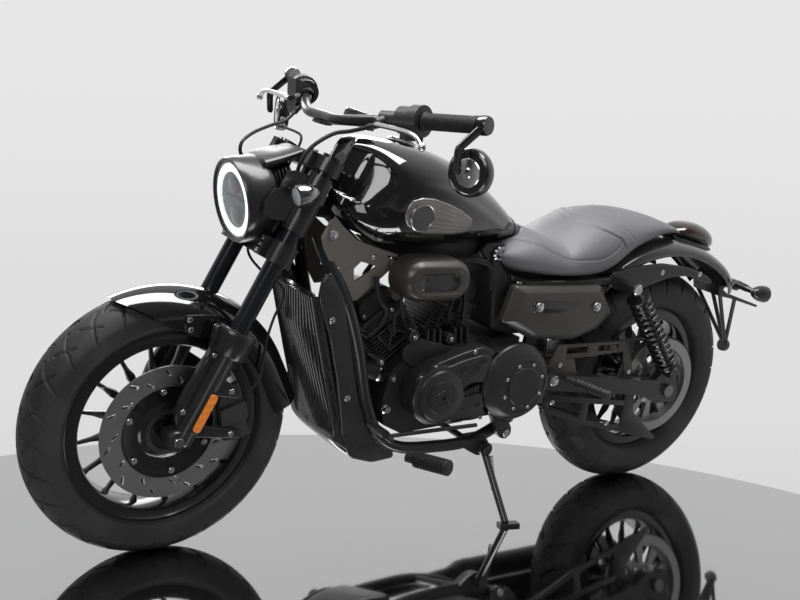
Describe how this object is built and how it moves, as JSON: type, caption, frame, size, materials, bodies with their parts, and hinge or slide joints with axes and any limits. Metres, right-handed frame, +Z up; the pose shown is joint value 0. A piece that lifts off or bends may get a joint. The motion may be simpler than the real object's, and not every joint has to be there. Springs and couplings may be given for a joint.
{
  "type": "cruiser motorcycle",
  "caption": "Black two-wheeled cruiser parked leaning on its side stand, with a teardrop tank, round lamp, low seat, belt drive and bar-end mirrors.",
  "frame": {"origin": "on the ground under the middle of the parked machine", "axes": "+X to the front, +Y to the rider's left, +Z up; the machine leans to +Y on its side stand"},
  "size_m": [2.161, 0.8952, 1.1124],
  "materials": {
    "gloss_black": "high gloss black enamel",
    "satin_black": "satin black paint",
    "engine_black": "matte black engine paint",
    "bronze_grey": "satin bronze grey paint",
    "cover_plastic": "satin dark grey plastic",
    "tube_black": "semi gloss black fork tube",
    "tyre_rubber": "tyre rubber",
    "black_rubber": "black rubber",
    "disc_steel": "ground steel",
    "pulley_grey": "grey anodised aluminium",
    "lever_metal": "polished aluminium",
    "axle_steel": "dark steel",
    "seat_leather": "dark grey seat cover",
    "switch_plastic": "black plastic",
    "lamp_glass": "clear lens",
    "indicator_body": "dark chrome",
    "indicator_rear": "gloss black",
    "tail_red": "smoked red lens",
    "amber": "amber reflector"
  },
  "bodies": {
    "chassis": {"frame_backbone": "satin_black", "frame_cradle": "satin_black", "frame_rear": "satin_black", "frame_side_plates": "bronze_grey", "radiator": "satin_black", "radiator_shroud": "cover_plastic", "crankcase": "satin_black", "left_engine_cover": "engine_black", "pulley_cover": "engine_black", "clutch_cover": "engine_black", "cylinders": "satin_black", "air_cleaner": "cover_plastic", "exhaust_headers": "satin_black", "mufflers": "satin_black", "fuel_tank": "gloss_black", "fuel_cap": "switch_plastic", "seat": "seat_leather", "side_covers": "cover_plastic", "rear_fender": "satin_black", "fender_struts": "satin_black", "tail_light": "tail_red", "plate_bracket": "satin_black", "rear_indicators": "indicator_rear", "swingarm": "satin_black", "shocks": "satin_black", "shock_springs": "satin_black", "belt_guards": "bronze_grey", "drive_belt": "black_rubber", "rear_caliper": "satin_black", "foot_pegs": "satin_black", "foot_levers": "satin_black", "rear_axle": "axle_steel"},
    "steering": {"triple_clamps": "satin_black", "fork_tubes": "tube_black", "fork_covers": "satin_black", "fork_sliders": "satin_black", "fork_reflectors": "amber", "front_fender": "gloss_black", "front_caliper": "satin_black", "headlight_housing": "satin_black", "headlight_lens": "lamp_glass", "headlight_bracket": "satin_black", "front_indicators": "indicator_body", "handlebar": "satin_black", "instrument": "switch_plastic", "grips": "black_rubber", "controls": "switch_plastic", "levers": "lever_metal", "mirrors": "satin_black", "cables": "black_rubber", "front_axle": "axle_steel"},
    "front_wheel": {"front_tyre": "tyre_rubber", "front_rim": "satin_black", "front_disc": "disc_steel"},
    "rear_wheel": {"rear_tyre": "tyre_rubber", "rear_rim": "satin_black", "rear_pulley": "pulley_grey", "rear_disc": "disc_steel"},
    "stand": {"side_stand": "satin_black"}
  },
  "joints": [
    {"name": "steering", "type": "hinge", "parent": "chassis", "child": "steering", "pos_m": [0.50223, -0.03078, 0.76245], "axis": [-0.4289, 0.1708, 0.887], "range_deg": [-35, 35]},
    {"name": "front_wheel_spin", "type": "hinge", "parent": "steering", "child": "front_wheel", "pos_m": [0.7815, -0.12083, 0.2948], "axis": [0, 0.982, -0.1891], "continuous": true},
    {"name": "rear_wheel_spin", "type": "hinge", "parent": "chassis", "child": "rear_wheel", "pos_m": [-0.6385, -0.11861, 0.30634], "axis": [0, 0.982, -0.1891], "continuous": true},
    {"name": "side_stand_fold", "type": "hinge", "parent": "chassis", "child": "stand", "pos_m": [-0.0345, -0.01409, 0.17219], "axis": [0, 0.982, -0.1891], "range_deg": [0, 82]}
  ]
}
